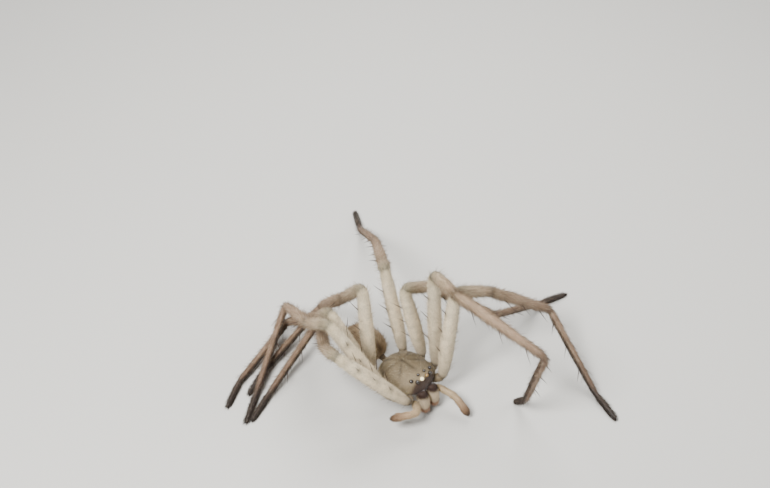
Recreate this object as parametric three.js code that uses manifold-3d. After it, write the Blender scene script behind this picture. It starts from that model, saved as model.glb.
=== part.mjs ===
// Huntsman spider, life size, in millimetres. It stands on the floor at z = 0 and faces -Y, its left at +X.
import * as THREE from "three";
import { mergeVertices } from "three/addons/utils/BufferGeometryUtils.js";
import Module from "manifold-3d";

const wasm = await Module();
wasm.setup();

// Driving sizes of the body
const GAP = 0.3;
const OVERLAP = 0.02;
const SIDES = 10;
const BODY_Z = 7.5;
const CARAPACE = { front: 8.0, back: 7.6, width: 14.2, rise: 4.8, rim: 8.2, sternum: 4.4 };
const ABDOMEN = { front: 9.2, length: 14.5, width: 10.2, height: 8.6, z: 8.6, sink: 0.5 };
const PEDICEL = { radius: 1.1, z: 7.6, root: 2, climb: 0.7 };
const CHELICERA = { apart: 1.9, width: 3.2, top: 8.1, bottom: 2.4, ahead: 8.3, set_back: 0.6, slant: 1.0 };
const FANG = { length: 2.9, radius: 0.42, below: 0.55, turn: -30, curl: 85 };
const SPINNERET = { length: 2.6, radius: 0.62, apart: 0.8, root: 1.4, drop: 0.9, splay: 0.25 };

// Eyes in two rows: name, radius, distance from the midline, distance ahead and height
const EYES = [
  { name: "front_median", radius: 0.58, side: 0.95, ahead: 7.05, z: 12.2 },
  { name: "front_lateral", radius: 0.62, side: 2.5, ahead: 6.8, z: 11.85 },
  { name: "rear_median", radius: 0.45, side: 1.15, ahead: 5.7, z: 12.9 },
  { name: "rear_lateral", radius: 0.58, side: 3.65, ahead: 5.5, z: 12.0 },
];

// Lengths and half thicknesses of a leg of size 1
const COXA = { reach: 4.6, drop: 1.2, sweep: 0.86, cut: 2 };
const LENGTH = { femur: 29.2, patella: 12.2, tibia: 27.6, metatarsus: 27.2, tarsus: 10 };
const RADIUS = {
  coxa: 1.15, hip: 1.55, femur: 2.05, knee: 1.6, patella: 1.6, tibia: 1.44,
  ankle: 1.15, metatarsus: 0.98, tarsus: 0.8,
};
const FOOT = { axis_z: 0.42, fall: 6, trim: 400 };

// Legs: where the femur starts (ahead, aside), and each segment's turn from straight ahead towards
// its own side and its rise above level, in degrees. The metatarsus falls as steeply as its foot needs,
// and a foot with a fall of its own stands more on its tip than the others.
const LEGS = {
  l1: {
    ahead: 7.6, aside: 6.9, size: 1,
    femur: [102, 80], patella: [74, -24], tibia: [74, -39], foot: [-15, -16],
  },
  l2: {
    ahead: 3.0, aside: 8.9, size: 1.06, fall: 50,
    femur: [149, 81], patella: [-20, 15], tibia: [8, -12], foot: [150, 150],
  },
  l3: {
    ahead: -2.2, aside: 8.9, size: 0.92,
    femur: [228, 78], patella: [86, -28], tibia: [60, -40], foot: [91, 75],
  },
  l4: {
    ahead: -7.4, aside: 6.4, size: 0.97,
    femur: [186, 76], patella: [137, -36], tibia: [141, -27], foot: [148, 146],
  },
  r1: {
    ahead: 7.6, aside: 6.9, size: 1,
    femur: [125, 48], patella: [204, -32], tibia: [220, -28], foot: [78, 70],
  },
  r2: {
    ahead: 3.0, aside: 8.9, size: 1.06,
    femur: [144, 57], patella: [188, -37], tibia: [206, -33], foot: [60, 58],
  },
  r3: {
    ahead: -2.2, aside: 8.9, size: 0.92,
    femur: [164, 56], patella: [196, -49], tibia: [192, -43], foot: [76, 62],
  },
  r4: {
    ahead: -7.4, aside: 6.4, size: 0.97,
    femur: [204, 77], patella: [180, -50], tibia: [201, -47], foot: [82, 70],
  },
};

// Spines: the segment, the shares of its length where they stand, their angles round it and their length
const SPINES = [
  { part: "femur", shares: [0.3, 0.52, 0.74], angles: [35, 145], length: 3.2 },
  { part: "tibia", shares: [0.2, 0.5, 0.8], angles: [-30, -150], length: 3.8 },
  { part: "metatarsus", shares: [0.12, 0.4, 0.68], angles: [-25, -155], length: 3.2 },
];
const SPINE = { radius: 0.27, lean: 42, sunk: 0.6, sides: 4, vary: 0.3, clear: 0.9, floor: 1.0, tip: 0.06 };

// Palps: segment lengths, half thicknesses, and each palp's turns and rises
const PALP = {
  lengths: [3.6, 1.9, 2.4, 3.4], radii: [0.9, 1.05, 1.0, 1.1, 0.8],
  ahead: 8.6, aside: 4.3, z: 5.6, swell: 0.08,
};
const PALP_POSE = {
  left: [[15, -2], [10, -18], [0, -28], [-5, -30]],
  right: [[45, 15], [95, 5], [120, 0], [130, -12]],
};

const TINT = {
  femur: 0xd8cdb0, shank: 0xb9a184, foot: 0x6f5f50, carapace: 0x6e6752, abdomen: 0xa89378,
  chelicera: 0xd0c0a8, fang: 0x1c120d, eye: 0x120d0a,
};
const SIDE_NAMES = [["left", 1], ["right", -1]];

const vec = (x, y, z) => new THREE.Vector3(x, y, z);

// A direction from a turn away from straight ahead and a rise, both in degrees
function heading(side, [turn, rise]) {
  const t = THREE.MathUtils.degToRad(turn);
  const r = THREE.MathUtils.degToRad(rise);
  return vec(side * Math.sin(t) * Math.cos(r), -Math.cos(t) * Math.cos(r), Math.sin(r));
}

// A closed geometry from rings of equal count, with a fan at each end
function skinRings(rings) {
  const sides = rings[0].length;
  const at = rings.flat();
  const index = [];
  for (let i = 0; i < rings.length - 1; i++)
    for (let j = 0; j < sides; j++) {
      const a = i * sides + j;
      const b = i * sides + ((j + 1) % sides);
      index.push(a, b, b + sides, a, b + sides, a + sides);
    }
  for (const [ring, flip] of [[0, true], [rings.length - 1, false]]) {
    const middle = at.length;
    at.push(rings[ring].reduce((s, p) => s.add(p), vec(0, 0, 0)).divideScalar(sides));
    for (let j = 0; j < sides; j++) {
      const a = ring * sides + j;
      const b = ring * sides + ((j + 1) % sides);
      index.push(...(flip ? [b, a, middle] : [a, b, middle]));
    }
  }
  const g = new THREE.BufferGeometry();
  g.setAttribute("position", new THREE.Float32BufferAttribute(at.flatMap((p) => p.toArray()), 3));
  g.setIndex(index);
  return g;
}

// Two directions across an axis
function across(axis) {
  const u = Math.abs(axis.z) > 0.94 ? vec(0, 1, 0) : vec(0, 0, 1);
  const side = u.clone().cross(axis).normalize();
  return [side, axis.clone().cross(side).normalize()];
}

// A vector of a length, at an angle round an axis
function spokeAt([u, v], angle, length) {
  return u.clone().multiplyScalar(length * Math.cos(angle)).addScaledVector(v, length * Math.sin(angle));
}

// A round limb from a to b. Shape holds [share of the length, half thickness] pairs. Each end lies in
// its mitre plane, half a gap back from the joint, and the tilt fades out along the limb.
function limb(a, b, shape, startNormal, endNormal, gaps = [GAP / 2, GAP / 2], sides = SIDES) {
  const axis = b.clone().sub(a);
  const length = axis.length();
  const fade = 3.2;
  axis.normalize();
  const frame = across(axis);
  const lean = (spoke, normal, back) => (back - spoke.dot(normal)) / axis.dot(normal);
  const rings = shape.map(([share, radius]) => {
    const nearStart = Math.max(0, 1 - (share * length) / (fade * radius));
    const nearEnd = Math.max(0, 1 - ((1 - share) * length) / (fade * radius));
    return Array.from({ length: sides }, (_, j) => {
      const spoke = spokeAt(frame, (2 * Math.PI * j) / sides, radius);
      const shift = nearStart * lean(spoke, startNormal, gaps[0]) + nearEnd * lean(spoke, endNormal, -gaps[1]);
      return a.clone().addScaledVector(axis, share * length + shift).add(spoke);
    });
  });
  return skinRings(rings);
}

// The plane in which two limbs meet, halfway between their directions
const mitre = (d1, d2) => d1.clone().add(d2).normalize();

// Solids for joining and cutting
function solid(geometry) {
  const g = geometry.index ? geometry.toNonIndexed() : geometry.clone();
  g.deleteAttribute("normal");
  g.deleteAttribute("uv");
  const merged = mergeVertices(g, 1e-4);
  return new wasm.Manifold(new wasm.Mesh({
    numProp: 3,
    vertProperties: merged.attributes.position.array,
    triVerts: new Uint32Array(merged.index.array),
  }));
}

// The largest closed body of a solid, as a geometry
function largest(made) {
  const bodies = made.decompose().sort((p, q) => q.volume() - p.volume());
  const mesh = bodies[0].getMesh();
  const g = new THREE.BufferGeometry();
  const at = new Float32Array(mesh.numVert * 3);
  for (let i = 0; i < mesh.numVert; i++)
    at.set(mesh.vertProperties.subarray(i * mesh.numProp, i * mesh.numProp + 3), i * 3);
  g.setAttribute("position", new THREE.BufferAttribute(at, 3));
  g.setIndex(new THREE.BufferAttribute(new Uint32Array(mesh.triVerts), 1));
  return g;
}

const root = new THREE.Group();

function add(name, geometry, tint, roughness = 0.6) {
  const g = geometry.toNonIndexed();
  g.computeVertexNormals();
  const mesh = new THREE.Mesh(g, new THREE.MeshStandardMaterial({ color: tint, roughness, metalness: 0 }));
  mesh.name = name;
  root.add(mesh);
}

// The joints of one leg, from the coxa's root to the tip of the tarsus
function legJoints(leg, side) {
  const size = leg.size;
  const hip = vec(side * leg.aside, -leg.ahead, BODY_Z);
  const out = vec(hip.x, hip.y * COXA.sweep, 0).normalize();
  const points = [hip.clone().addScaledVector(out, -COXA.reach).setZ(BODY_Z - COXA.drop), hip];
  const directions = [hip.clone().sub(points[0]).normalize()];
  const step = (part, pose) => {
    const d = heading(side, pose);
    directions.push(d);
    points.push(points.at(-1).clone().addScaledVector(d, LENGTH[part] * size));
  };
  for (const part of ["femur", "patella", "tibia"]) step(part, leg[part]);
  const footFall = leg.fall ?? FOOT.fall;
  const slope = THREE.MathUtils.degToRad(footFall);
  const tipZ = FOOT.axis_z * Math.cos(slope) ** 2;
  const drop = points.at(-1).z - tipZ - LENGTH.tarsus * size * Math.sin(slope);
  const fall = THREE.MathUtils.radToDeg(Math.asin(drop / (LENGTH.metatarsus * size)));
  step("metatarsus", [leg.foot[0], -fall]);
  step("tarsus", [leg.foot[1], -footFall]);
  return { points, directions };
}

// A repeatable number between -1 and 1 for each spine
function vary(number) {
  const wave = Math.sin(number * 12.9898) * 43758.5453;
  return 2 * (wave - Math.floor(wave)) - 1;
}

// Whether a spine's tip keeps clear of the floor, of every other leg and of the rest of its own
function isClear(tip, name, own, joints) {
  if (tip.z < SPINE.floor) return false;
  const keepsOff = (other, from, to, segment) => {
    if (other === name && segment === own) return true;
    const near = new THREE.Line3(from, to).closestPointToPoint(tip, true, vec(0, 0, 0));
    return near.distanceTo(tip) > SPINE.clear + (other === name ? RADIUS.ankle : RADIUS.femur);
  };
  return Object.entries(joints).every(([other, { points }]) =>
    points.slice(1).every((to, i) => keepsOff(other, points[i], to, i)));
}

// One segment of a leg with its spines fused on
function withSpines(body, part, name, joints) {
  const { points } = joints[name];
  const size = LEGS[name].size;
  const k = ["coxa", "femur", "patella", "tibia", "metatarsus"].indexOf(part);
  const axis = points[k + 1].clone().sub(points[k]).normalize();
  const frame = across(axis);
  const lean = THREE.MathUtils.degToRad(SPINE.lean);
  let made = body;
  const { shares, angles, length } = SPINES.find((row) => row.part === part);
  shares.forEach((share, i) => angles.forEach((degrees, j) => {
    const number = 100 * k + 10 * i + j + 7 * Object.keys(LEGS).indexOf(name);
    const angle = THREE.MathUtils.degToRad(degrees + 40 * SPINE.vary * vary(number));
    const reach = length * size * (1 + 0.5 * SPINE.vary * vary(number + 0.5));
    const start = points[k].clone().lerp(points[k + 1], share);
    start.add(spokeAt(frame, angle, RADIUS[part] - SPINE.sunk));
    const out = spokeAt(frame, angle, Math.sin(lean)).addScaledVector(axis, Math.cos(lean));
    const tip = start.clone().addScaledVector(out, reach + SPINE.sunk);
    if (!isClear(tip, name, k, joints)) return;
    const shape = [[0, SPINE.radius], [0.75, SPINE.radius], [1, SPINE.tip]];
    made = made.add(solid(limb(start, tip, shape, out, out, [0, 0], SPINE.sides)));
  }));
  return made;
}

// What lies under the floor, for trimming the feet flat
function belowFloor() {
  return solid(new THREE.BoxGeometry(FOOT.trim, FOOT.trim, FOOT.trim).translate(0, 0, -FOOT.trim / 2));
}

function coxaLimb({ points, directions }, spread) {
  const { coxa, hip } = RADIUS;
  const shape = [[0, coxa], [0.3, coxa * 1.12], [0.75, hip * 1.04], [1, hip]];
  const grown = shape.map(([share, radius]) => [share, radius + spread]);
  const end = spread ? directions[0] : mitre(directions[0], directions[1]);
  return limb(points[0], points[1], grown, directions[0], end, spread ? [-COXA.cut, 0] : [GAP / 2, GAP / 2]);
}

function makeLeg(name, joints) {
  const { points, directions } = joints[name];
  const between = directions.slice(1).map((d, i) => mitre(directions[i], d));
  const { hip, femur, knee, patella, tibia, ankle, metatarsus, tarsus } = RADIUS;
  const shapes = {
    femur: [
      [0, hip], [0.06, hip * 1.06], [0.2, femur * 0.97], [0.42, femur],
      [0.7, femur * 0.9], [0.9, knee * 1.06], [1, knee],
    ],
    patella: [[0, knee], [0.3, patella * 1.06], [0.7, patella], [1, tibia]],
    tibia: [[0, tibia], [0.12, tibia * 0.96], [0.35, tibia], [0.75, ankle * 1.08], [1, ankle]],
    metatarsus: [
      [0, ankle], [0.1, metatarsus * 1.02], [0.5, metatarsus],
      [0.9, metatarsus * 0.94], [1, tarsus],
    ],
    tarsus: [[0, tarsus], [0.15, tarsus * 1.04], [0.6, tarsus * 0.98], [0.9, tarsus * 0.86], [1, tarsus * 0.5]],
  };
  const piece = (part, k, gaps) =>
    solid(limb(points[k], points[k + 1], shapes[part], between[k - 1], between[k], gaps));
  add(name + "_coxa", coxaLimb(joints[name], 0), TINT.femur);
  add(name + "_femur", largest(withSpines(piece("femur", 1), "femur", name, joints)), TINT.femur);
  const shin = piece("patella", 2, [GAP / 2, -OVERLAP]).add(piece("tibia", 3, [-OVERLAP, GAP / 2]));
  add(name + "_patella_tibia", largest(withSpines(shin, "tibia", name, joints)), TINT.shank);
  const shank = withSpines(piece("metatarsus", 4), "metatarsus", name, joints);
  add(name + "_metatarsus", largest(shank), TINT.shank);
  const foot = limb(points[5], points[6], shapes.tarsus, between[4], directions[5], [GAP / 2, 0]);
  add(name + "_tarsus", largest(solid(foot).subtract(belowFloor())), TINT.foot);
}

// The carapace above and the sternum below, as rings along the body
function prosomaGeometry() {
  const { front, back, width, rise, rim, sternum } = CARAPACE;
  const steps = 16;
  const sides = 24;
  const rings = [];
  for (let i = 0; i <= steps; i++) {
    const s = -Math.cos((Math.PI * i) / steps);
    const ahead = s > 0 ? s * front : s * back;
    const narrow = s > 0 ? 1 - 0.2 * s ** 2 : 1;
    const reach = Math.max(0.04, 1 - Math.abs(s) ** (s > 0 ? 5 : 2.5)) ** 0.5;
    const half = (width / 2) * narrow * reach;
    const top = rise * Math.max(0.03, 1 - Math.abs(s * 0.98) ** (s > 0 ? 9 : 2.4)) ** 0.6;
    const floorDrop = (rim - sternum) * Math.max(0.05, 1 - Math.abs(s) ** 3) ** 0.5;
    rings.push(Array.from({ length: sides }, (_, j) => {
      const a = (2 * Math.PI * j) / sides;
      const up = Math.sin(a);
      const lateral = Math.sign(Math.cos(a)) * Math.abs(Math.cos(a)) ** (up > 0 ? 0.92 : 0.8);
      const spread = up < 0 ? 1 - 0.42 * Math.abs(up) : 1;
      return vec(half * lateral * spread, -ahead, rim + (up > 0 ? top : floorDrop) * up);
    }));
  }
  return skinRings(rings);
}

function abdomenGeometry() {
  const { front, length, width, height, z, sink } = ABDOMEN;
  const steps = 12;
  const sides = 18;
  const rings = [];
  for (let i = 0; i <= steps; i++) {
    const s = -Math.cos((Math.PI * i) / steps);
    const reach = Math.max(0.03, 1 - Math.abs(s) ** 2.3) ** 0.5 * (1 + 0.08 * s);
    const y = front + (length * (1 + s)) / 2;
    rings.push(Array.from({ length: sides }, (_, j) => {
      const a = (2 * Math.PI * j) / sides;
      return vec(-Math.cos(a) * (width / 2) * reach, y, z - sink * s + Math.sin(a) * (height / 2) * reach);
    }));
  }
  return skinRings(rings);
}

// Opisthosoma with its stalk and the spinnerets
function makeAbdomen() {
  const back = vec(0, 1, 0);
  const stalk = limb(
    vec(0, CARAPACE.back + GAP, PEDICEL.z), vec(0, ABDOMEN.front + PEDICEL.root, PEDICEL.z + PEDICEL.climb),
    [[0, PEDICEL.radius], [1, PEDICEL.radius * 1.15]], back, back, [0, 0]);
  let body = solid(abdomenGeometry()).add(solid(stalk));
  const rear = ABDOMEN.front + ABDOMEN.length;
  const { length, radius, apart, root: sunk, drop, splay } = SPINNERET;
  for (const [side, lower, size] of [[1, 0.3, 1], [-1, 0.3, 1], [0.7, -0.6, 0.8], [-0.7, -0.6, 0.8]]) {
    const a = vec(side * apart, rear - sunk, ABDOMEN.z - drop - lower);
    const b = a.clone().add(vec(side * splay, length * size, -splay));
    const r = radius * size;
    const d = b.clone().sub(a).normalize();
    body = body.add(solid(limb(a, b, [[0, r], [0.6, r], [1, r * 0.45]], d, d, [0, 0], 8)));
  }
  add("abdomen", largest(body), TINT.abdomen, 0.8);
}

function cheliceraGeometry(side, spread) {
  const { apart, width, top, bottom, ahead, set_back, slant } = CHELICERA;
  const a = vec(side * apart, -ahead + set_back, top);
  const b = vec(side * apart, -ahead - slant, bottom);
  const d = b.clone().sub(a).normalize();
  const r = width / 2;
  const shape = [[0, 0.8], [0.12, 0.98], [0.4, 1.02], [0.7, 0.9], [0.92, 0.62], [1, 0.4]];
  const grown = shape.map(([share, part]) => [share, r * part + spread]);
  return limb(a, b, grown, d, d, [-spread, -spread], 14);
}

// A fang folded inwards under its chelicera
function fangGeometry(side) {
  const steps = 6;
  const sides = 8;
  const { apart, ahead, slant, bottom } = CHELICERA;
  const at = vec(side * apart, -ahead - slant, bottom - FANG.below);
  const rings = [];
  for (let i = 0; i <= steps; i++) {
    const s = i / steps;
    const turn = THREE.MathUtils.degToRad(FANG.turn + FANG.curl * s);
    const d = vec(-side * Math.sin(turn) * 0.6, Math.cos(turn) * 0.55, -0.3 + 0.3 * s).normalize();
    if (i) at.addScaledVector(d, FANG.length / steps);
    const frame = across(d);
    const radius = FANG.radius * (1 - 0.82 * s ** 1.5);
    const angles = Array.from({ length: sides }, (_, j) => (2 * Math.PI * j) / sides);
    rings.push(angles.map((angle) => at.clone().add(spokeAt(frame, angle, radius))));
  }
  return skinRings(rings);
}

function palpGeometry(side, pose) {
  const directions = pose.map((p) => heading(side, p));
  const last = pose.length - 1;
  let at = vec(side * PALP.aside, -PALP.ahead, PALP.z);
  let made;
  directions.forEach((d, i) => {
    const next = at.clone().addScaledVector(d, PALP.lengths[i]);
    const before = i ? mitre(directions[i - 1], d) : d;
    const after = i < last ? mitre(d, directions[i + 1]) : d;
    const [r0, r1] = [PALP.radii[i], PALP.radii[i + 1]];
    const shape = [[0, r0], [0.5, (r0 + r1) / 2 + PALP.swell], [1, r1 * (i === last ? 0.6 : 1)]];
    const gaps = [i ? -OVERLAP : 0, i < last ? -OVERLAP : 0];
    const piece = solid(limb(at, next, shape, before, after, gaps));
    made = made ? made.add(piece) : piece;
    at = next;
  });
  return made;
}

function eyeGeometry(eye, side, spread) {
  return new THREE.SphereGeometry(eye.radius + spread, 10, 8).translate(side * eye.side, -eye.ahead, eye.z);
}

function makeHead(joints) {
  let body = solid(prosomaGeometry());
  for (const leg of Object.values(joints)) body = body.subtract(solid(coxaLimb(leg, GAP)));
  for (const [label, side] of SIDE_NAMES) {
    body = body.subtract(solid(cheliceraGeometry(side, GAP)));
    add("chelicera_" + label, cheliceraGeometry(side, 0), TINT.chelicera, 0.5);
    add("fang_" + label, fangGeometry(side), TINT.fang, 0.2);
    add("palp_" + label, largest(palpGeometry(side, PALP_POSE[label])), TINT.chelicera);
    for (const eye of EYES) {
      body = body.subtract(solid(eyeGeometry(eye, side, GAP)));
      add("eye_" + eye.name + "_" + label, eyeGeometry(eye, side, 0), TINT.eye, 0.1);
    }
  }
  add("prosoma", largest(body), TINT.carapace, 0.7);
}

const joints = Object.fromEntries(
  Object.entries(LEGS).map(([name, leg]) => [name, legJoints(leg, name[0] === "l" ? 1 : -1)]));
for (const name of Object.keys(LEGS)) makeLeg(name, joints);
makeHead(joints);
makeAbdomen();

// The origin is at the middle of the box's base
const box = new THREE.Box3().setFromObject(root);
const middle = box.getCenter(vec(0, 0, 0));
root.position.set(-middle.x, -middle.y, -box.min.z);

export default root;
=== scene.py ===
"""Huntsman spider, life size: the skin, coat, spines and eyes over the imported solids.

Sizes in this script are millimetres, turned to metres where a mesh is made.
The spider faces -Y, its left is at +X, and the floor is at z = 0.
"""
import math

import bpy
import numpy as np
from mathutils import Matrix, Vector


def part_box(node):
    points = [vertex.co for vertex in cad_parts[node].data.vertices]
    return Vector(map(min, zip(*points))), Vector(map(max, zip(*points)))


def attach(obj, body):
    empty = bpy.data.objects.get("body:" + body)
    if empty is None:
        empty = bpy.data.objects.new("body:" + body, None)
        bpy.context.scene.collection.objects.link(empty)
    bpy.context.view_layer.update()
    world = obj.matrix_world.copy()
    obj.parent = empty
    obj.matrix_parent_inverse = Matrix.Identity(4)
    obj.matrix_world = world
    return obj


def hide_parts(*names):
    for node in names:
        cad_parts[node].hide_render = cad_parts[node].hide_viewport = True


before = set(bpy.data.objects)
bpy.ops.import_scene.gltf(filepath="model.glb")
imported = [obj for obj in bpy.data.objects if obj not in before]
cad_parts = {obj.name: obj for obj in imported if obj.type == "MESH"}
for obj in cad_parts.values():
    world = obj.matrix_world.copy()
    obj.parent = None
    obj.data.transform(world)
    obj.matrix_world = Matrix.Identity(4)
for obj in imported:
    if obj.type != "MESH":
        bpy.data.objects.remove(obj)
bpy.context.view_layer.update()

MM = 0.001

# Sizes that follow the solids
BODY_Z = 7.5
CARAPACE = dict(front=8.0, back=7.6, width=14.2, rise=4.8, rim=8.2, sternum=4.4)
ABDOMEN = dict(front=9.2, length=14.5, width=10.2, height=8.6, z=8.6, sink=0.5)
CHELICERA = dict(apart=1.9, width=3.2, top=8.1, bottom=2.4, ahead=8.3, set_back=0.6, slant=1.0, bow=0.35)
FANG = dict(length=2.9, radius=0.42, below=0.55, turn=-30, curl=85, inward=0.6, back=0.55, down=0.3)
SPINNERET = dict(length=1.9, radius=0.52, apart=0.8, root=1.4, drop=0.9, splay=0.25, overlap=0.6)
PEDICEL = dict(points=((0, 6.9, 7.7), (0, 8.6, 7.7), (0, 11.5, 8.2)), radii=(0.8, 0.85, 1.1))
COXA = dict(reach=4.6, drop=1.2, sweep=0.86)
LENGTH = dict(femur=29.2, patella=12.2, tibia=27.6, metatarsus=27.2, tarsus=10.0)
RADIUS = dict(femur=2.05, tibia=1.44, ankle=1.15, metatarsus=0.98)
FOOT = dict(axis_z=0.42, fall=6)

# Legs: the hip's place, size beside the first leg, and each segment's turn and rise in degrees; foot
# is the turns of the metatarsus and the tarsus
LEGS = {
    "l1": dict(ahead=7.6, aside=6.9, size=1,
        femur=(102, 80), patella=(74, -24), tibia=(74, -39), foot=(-15, -16)),
    "l2": dict(ahead=3.0, aside=8.9, size=1.06, fall=50,
        femur=(149, 81), patella=(-20, 15), tibia=(8, -12), foot=(150, 150)),
    "l3": dict(ahead=-2.2, aside=8.9, size=0.92,
        femur=(228, 78), patella=(86, -28), tibia=(60, -40), foot=(91, 75)),
    "l4": dict(ahead=-7.4, aside=6.4, size=0.97,
        femur=(186, 76), patella=(137, -36), tibia=(141, -27), foot=(148, 146)),
    "r1": dict(ahead=7.6, aside=6.9, size=1,
        femur=(125, 48), patella=(204, -32), tibia=(220, -28), foot=(78, 70)),
    "r2": dict(ahead=3.0, aside=8.9, size=1.06,
        femur=(144, 57), patella=(188, -37), tibia=(206, -33), foot=(60, 58)),
    "r3": dict(ahead=-2.2, aside=8.9, size=0.92,
        femur=(164, 56), patella=(196, -49), tibia=(192, -43), foot=(76, 62)),
    "r4": dict(ahead=-7.4, aside=6.4, size=0.97,
        femur=(204, 77), patella=(180, -50), tibia=(201, -47), foot=(82, 70)),
}
PALP = dict(lengths=(3.6, 1.9, 2.4, 3.4), ahead=8.6, aside=4.3, z=5.6, sunk=1.0)
PALP_POSE = {
    "left": ((15, -2), (10, -18), (0, -28), (-5, -30)),
    "right": ((45, 15), (95, 5), (120, 0), (130, -12)),
}

# Spinnerets: name, side, how far below the common root, and size
SPINNERETS = (
    ("upper_left", 1, 0.3, 1),
    ("upper_right", -1, 0.3, 1),
    ("lower_left", 0.7, -0.6, 0.8),
    ("lower_right", -0.7, -0.6, 0.8),
)

# Spines: the segment and its place in the leg, shares of its length, angles round it and length
SPINES = (
    ("femur", 1, (0.3, 0.52, 0.74), (35, 145), 3.2),
    ("tibia", 3, (0.2, 0.5, 0.8), (-30, -150), 3.8),
    ("metatarsus", 4, (0.12, 0.4, 0.68), (-25, -155), 3.2),
)
# Their lean from the segment, depth of the root, spread in angle and length, and room round the tip
SPINE = dict(lean=42, sunk=0.6, turn=12, stretch=0.15, clear=0.9, floor=1.0, radius=(0.15, 0.19))

# Eyes: radius, distance from the midline, ahead and height
EYES = {
    "front_median": dict(radius=0.58, side=0.95, ahead=7.05, z=12.2),
    "front_lateral": dict(radius=0.62, side=2.5, ahead=6.8, z=11.85),
    "rear_median": dict(radius=0.45, side=1.15, ahead=5.7, z=12.9),
    "rear_lateral": dict(radius=0.58, side=3.65, ahead=5.5, z=12.0),
}
# The eyes with painted eyeshine, standing for the light that their mirror layer sends back; the others look
# dark
LIT_EYES = {"front_median_right": "shine", "front_median_left": "amber"}

# Stations count a leg's joints from the coxa's root: 1 hip, 2 knee, 3 start of the tibia, 4 of the
# metatarsus, 5 of the tarsus, 6 its tip. Beside each is the half thickness there
LEG_SHAPE = (
    (0, 0.9), (0.3, 1.05), (0.7, 1.3), (0.93, 1.25), (1, 1.08), (1.03, 1.3), (1.12, 1.62),
    (1.3, 1.94), (1.5, 1.95), (1.75, 1.78), (1.9, 1.6), (1.965, 1.5), (2, 1.26), (2.07, 1.36),
    (2.3, 1.46), (2.7, 1.38), (2.93, 1.26), (3, 1.12), (3.04, 1.2), (3.15, 1.28), (3.4, 1.28),
    (3.75, 1.04), (3.95, 0.97), (4, 0.8), (4.03, 0.88), (4.2, 0.82), (4.6, 0.78), (4.93, 0.72),
    (5, 0.58), (5.06, 0.64), (5.4, 0.68), (5.8, 0.6), (5.95, 0.46), (6, 0.2),
)
PALP_SHAPE = (
    (0, 0.68), (0.5, 0.84), (1, 0.78), (1.4, 0.92), (2, 0.78), (2.5, 0.88), (3, 0.8), (3.4, 0.96),
    (3.85, 0.7), (4, 0.3),
)
# Half thickness of a jaw beside its half width, from the face to the fang's hinge
JAW_SHAPE = (
    (0, 0.78), (0.12, 0.97), (0.25, 1.03), (0.4, 1.03), (0.55, 0.98), (0.7, 0.9), (0.85, 0.74),
    (0.93, 0.6), (1, 0.36),
)
# Rings in a segment, points in a ring, rounding of each joint, the bent joint and how oval a ring is
LEG_RINGS = dict(each=26, sides=28, fillet=(0, 1.6, 2.6, 2.0, 2.0, 1.4), bend_joint=2, ridge=0.04)
PALP_RINGS = dict(each=16, sides=24, fillet=(0, 0.9, 0.9, 0.9), bend_joint=1, ridge=0.03)

LEG_COLOURS = (
    (0, "#5f5138"), (0.8, "#86755a"), (1, "#52452f"), (1.06, "#b3a388"), (1.25, "#d0c0a2"),
    (1.6, "#dacaac"), (1.85, "#dbcdb1"), (1.97, "#bfb091"), (2, "#6a614c"), (2.05, "#8a7e63"),
    (2.35, "#b5a184"), (2.8, "#a68f73"), (3, "#66543e"), (3.05, "#9c8468"), (3.4, "#ae9378"),
    (3.85, "#967b62"), (4, "#5c4838"), (4.06, "#977b62"), (4.5, "#8b7058"), (4.9, "#6c5340"),
    (5, "#463529"), (5.2, "#3e2f24"), (6, "#2b2019"),
)
PALP_COLOURS = (
    (0, "#9c8868"), (1, "#c0aa87"), (2, "#b9a07e"), (3, "#ab8f70"), (3.6, "#86694f"), (4, "#43301f"),
)
FACE_BROWN = "#341f13"
HORN_BLACK = "#150c08"

# Lengths of the hairs by station; for bristles, a share of it
DOWN_LENGTH = ((0, 0.7), (1, 0.8), (1.5, 0.95), (2, 1.0), (3, 1.5), (4, 1.4), (5, 0.9), (6, 0.7))
BRISTLE_SHARE = ((1, 0.85), (3, 1.0), (5, 0.9), (6, 0.5))
PAD_LENGTH = ((4, 0.5), (4.4, 0.75), (5, 0.85), (5.5, 0.9), (6, 1.1))
PALP_DOWN = ((0, 0.7), (3, 0.8), (3.5, 1.0), (4, 0.8))

# One hair: bend to the lie, depth of the root, middle ring beside the root ring, least height over
# the floor, and the shades of both rings and the tip
HAIR = dict(bend=0.55, root=0.12, middle=0.8, floor=0.03, shade=(0.72, 1.0, 1.12))
HAIR_FACES = np.array([[k, (k + 1) % 3, 3 + (k + 1) % 3] for k in range(3)]
                      + [[k, 3 + (k + 1) % 3, 3 + k] for k in range(3)]
                      + [[3 + k, 3 + (k + 1) % 3, 6] for k in range(3)])
# Each hair has a small patch of the map, with its seven points at these spots
PATCH = 0.003
PATCH_SPOTS = np.array([[0, 0], [1, 0], [0.5, 0.3], [0.1, 0.6], [0.9, 0.6], [0.5, 0.7], [0.5, 1]])
MAP_SPAN = 0.994

# One spine or claw: rings, points in a ring, share of the radius left at the tip, the power that it
# falls by, the curve and the least height over the floor
SPIKE = dict(rings=6, sides=7, tip=0.04, power=0.75, curve=0.14, floor=0.02)
CLAW = dict(length=0.95, radius=0.11, apart=0.18, sunk=0.3, raised=0.15, splay=0.25, hook=2.2)

# The marks of the carapace: the middle pit, the grooves that run out from it, and the head
PIT = dict(y=1.6, width=0.28, length=0.9, depth=0.7)
GROOVES = dict(waves=3.5, width=0.35, full=2, end=7.2, fade=3, depth=0.22)
HEAD = dict(y=-5.0, width=3.0, length=2.6, rise=0.12)

# The photograph's frame and the camera's place in it
IMAGE = (770, 488)
FOCAL_PIXELS = 1400
SENSOR_WIDTH = 36
NEAR_CLIP = 0.01
DEPRESSION = 42
HEADING = 45
DISTANCE = 392
AIM_PIXEL = (406, 374)
AIM_Z = 8

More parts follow.
